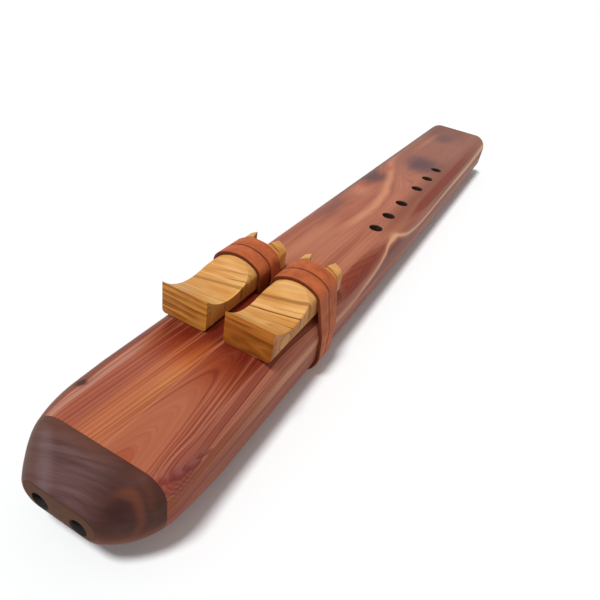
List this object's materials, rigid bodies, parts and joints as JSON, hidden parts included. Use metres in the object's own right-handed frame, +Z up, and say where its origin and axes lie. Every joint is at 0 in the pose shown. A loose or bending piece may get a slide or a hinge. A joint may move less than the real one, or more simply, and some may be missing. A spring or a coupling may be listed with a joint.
{
  "type": "double flute",
  "caption": "Wooden drone flute: side-by-side bores in one flat, rounded body, a dark blowing cap, finger holes along one side and carved blocks tied over the sound holes with leather.",
  "frame": {"origin": "under the middle of the flute, on the plane that the straps rest on", "axes": "+Y from the blowing end to the foot, +Z up through the blocks, +X toward the side with the finger holes"},
  "size_m": [0.0742, 0.5972, 0.0632],
  "materials": {
    "cedar": "satin oiled red cedar, straight grain along the body",
    "walnut": "satin oiled dark walnut",
    "plug_wood": "bare pale wood",
    "olive_wood": "satin golden wood with dark streaks across the width",
    "leather": "matte reddish brown with darker cut edges"
  },
  "bodies": {
    "body": {"body_top": "cedar", "body_bottom": "cedar", "mouthpiece": "walnut", "left_plug": "plug_wood", "right_plug": "plug_wood", "left_strap": "leather", "right_strap": "leather"},
    "left_block": {"left_block": "olive_wood"},
    "right_block": {"right_block": "olive_wood"}
  },
  "joints": [
    {"name": "left_block_slide", "type": "slide", "parent": "body", "child": "left_block", "axis": [0, 1, 0], "range_m": [-0.003, 0.002]},
    {"name": "right_block_slide", "type": "slide", "parent": "body", "child": "right_block", "axis": [0, 1, 0], "range_m": [-0.003, 0.002]}
  ]
}
